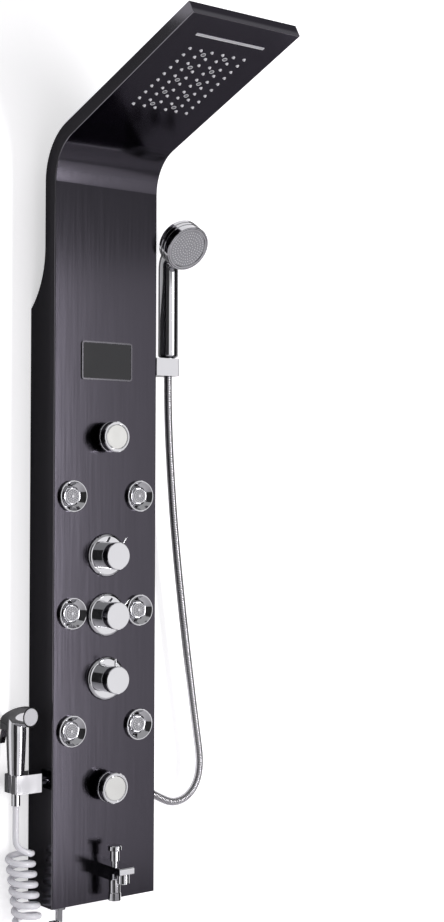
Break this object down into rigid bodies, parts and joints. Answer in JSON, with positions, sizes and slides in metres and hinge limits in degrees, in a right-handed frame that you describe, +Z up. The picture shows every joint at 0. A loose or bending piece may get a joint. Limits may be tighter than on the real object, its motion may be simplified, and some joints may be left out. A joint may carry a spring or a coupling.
{
  "type": "shower panel column",
  "caption": "Wall-hung shower column with an overhead rain arm, swivelling body jets, control knobs, a display, a tub spout, a hand shower and a coiled-hose sprayer.",
  "frame": {"origin": "middle of the upper wall bracket's two screw holes, in the plane of the finished wall", "axes": "+Z up along the column, +Y into the wall, +X to the right seen from the room"},
  "size_m": [0.3909, 0.4395, 1.4046],
  "materials": {
    "housing": "black bronze, glossy brushed steel",
    "zinc_plate": "plain zinc-plated sheet",
    "silicone": "pale soft silicone",
    "inner_plastic": "black moulded plastic",
    "led_lens": "clear white lens",
    "circuit_board": "lacquered board",
    "chrome": "polished chrome",
    "display_frame": "satin frame",
    "display_glass": "dark smoked window",
    "brass": "raw brass",
    "water_pipe": "white plastic pipe",
    "dial": "chrome with a pale satin front disc",
    "spray_face": "fine perforated grey plate",
    "steel_hose": "spiral-wound polished steel",
    "pale_face": "pale satin face",
    "white_hose": "white plastic hose"
  },
  "bodies": {
    "column": {"column_shell": "housing", "arm_top_cover": "housing", "upper_wall_bracket": "zinc_plate", "lower_wall_bracket": "zinc_plate", "hanger_rails": "zinc_plate", "rain_nozzles": "silicone", "rain_chamber": "inner_plastic", "led_lenses": "led_lens", "led_board": "circuit_board", "waterfall_lip": "chrome", "waterfall_chamber": "inner_plastic", "display_bezel": "display_frame", "display_glass": "display_glass", "display_module": "inner_plastic", "jet_rims": "chrome", "jet_bodies": "inner_plastic", "jet_nuts": "brass", "jet_pipes": "water_pipe", "valve_bodies": "brass", "dial_valves": "brass", "supply_manifold": "brass", "hot_inlet": "brass", "cold_inlet": "brass", "riser_pipe": "water_pipe", "spout_body": "chrome", "spout_outlet": "chrome", "spout_aerator": "chrome", "spout_nut": "brass", "right_clip": "chrome", "left_clip": "chrome", "clip_stems": "chrome", "hose_outlet": "chrome", "shower_hose": "steel_hose", "sprayer_outlet": "chrome", "coil_hose": "white_hose", "valve_flange_1": "chrome", "valve_flange_2": "chrome", "valve_flange_3": "chrome"},
    "jet_1": {"jet_nozzle_1": "pale_face"},
    "jet_2": {"jet_nozzle_2": "pale_face"},
    "jet_3": {"jet_nozzle_3": "pale_face"},
    "jet_4": {"jet_nozzle_4": "pale_face"},
    "jet_5": {"jet_nozzle_5": "pale_face"},
    "jet_6": {"jet_nozzle_6": "pale_face"},
    "knob_1": {"valve_knob_1": "chrome"},
    "knob_2": {"valve_knob_2": "chrome"},
    "knob_3": {"valve_knob_3": "chrome"},
    "upper_dial": {"upper_dial": "dial"},
    "lower_dial": {"lower_dial": "dial"},
    "diverter": {"spout_diverter": "chrome"},
    "hand_shower": {"hand_shower_handle": "chrome", "hand_shower_head": "chrome", "hand_shower_ring": "chrome", "hand_shower_face": "spray_face", "hand_shower_nut": "chrome"},
    "sprayer": {"sprayer_body": "chrome", "sprayer_face": "pale_face", "trigger_pin": "chrome", "sprayer_nut": "chrome"},
    "trigger": {"sprayer_trigger": "chrome"}
  },
  "joints": [
    {"name": "jet_1_tilt", "type": "hinge", "parent": "column", "child": "jet_1", "pos_m": [-0.0652, -0.066, -0.2418], "axis": [1, 0, 0], "range_deg": [-12, 12]},
    {"name": "jet_2_tilt", "type": "hinge", "parent": "column", "child": "jet_2", "pos_m": [0.0652, -0.066, -0.2418], "axis": [1, 0, 0], "range_deg": [-12, 12]},
    {"name": "jet_3_tilt", "type": "hinge", "parent": "column", "child": "jet_3", "pos_m": [-0.0652, -0.066, -0.4306], "axis": [1, 0, 0], "range_deg": [-12, 12]},
    {"name": "jet_4_tilt", "type": "hinge", "parent": "column", "child": "jet_4", "pos_m": [0.0652, -0.066, -0.4306], "axis": [1, 0, 0], "range_deg": [-12, 12]},
    {"name": "jet_5_tilt", "type": "hinge", "parent": "column", "child": "jet_5", "pos_m": [-0.0652, -0.066, -0.6194], "axis": [1, 0, 0], "range_deg": [-12, 12]},
    {"name": "jet_6_tilt", "type": "hinge", "parent": "column", "child": "jet_6", "pos_m": [0.0652, -0.066, -0.6194], "axis": [1, 0, 0], "range_deg": [-12, 12]},
    {"name": "knob_1_turn", "type": "hinge", "parent": "column", "child": "knob_1", "pos_m": [0, -0.1, -0.3385], "axis": [0, 1, 0], "range_deg": [-34, 56]},
    {"name": "knob_2_turn", "type": "hinge", "parent": "column", "child": "knob_2", "pos_m": [0, -0.1, -0.4354], "axis": [0, 1, 0], "range_deg": [-45, 45]},
    {"name": "knob_3_turn", "type": "hinge", "parent": "column", "child": "knob_3", "pos_m": [0, -0.1, -0.5391], "axis": [0, 1, 0], "range_deg": [0, 90]},
    {"name": "upper_dial_turn", "type": "hinge", "parent": "column", "child": "upper_dial", "pos_m": [0, -0.095, -0.1455], "axis": [0, 1, 0], "range_deg": [-60, 60]},
    {"name": "lower_dial_turn", "type": "hinge", "parent": "column", "child": "lower_dial", "pos_m": [0, -0.095, -0.7136], "axis": [0, 1, 0], "range_deg": [0, 90]},
    {"name": "diverter_lift", "type": "slide", "parent": "column", "child": "diverter", "axis": [0, 0, 1], "range_m": [0, 0.01]},
    {"name": "hand_shower_lift", "type": "slide", "parent": "column", "child": "hand_shower", "axis": [0, 0, 1], "range_m": [0, 0.06]},
    {"name": "sprayer_lift", "type": "slide", "parent": "column", "child": "sprayer", "axis": [0, 0, 1], "range_m": [0, 0.05]},
    {"name": "trigger_press", "type": "hinge", "parent": "sprayer", "child": "trigger", "pos_m": [-0.15154, -0.01178, -0.612], "axis": [-0.9903, -0.1392, 0], "range_deg": [0, 14], "stiffness_Nm_per_rad": 0.5, "springref_deg": -8.59}
  ]
}
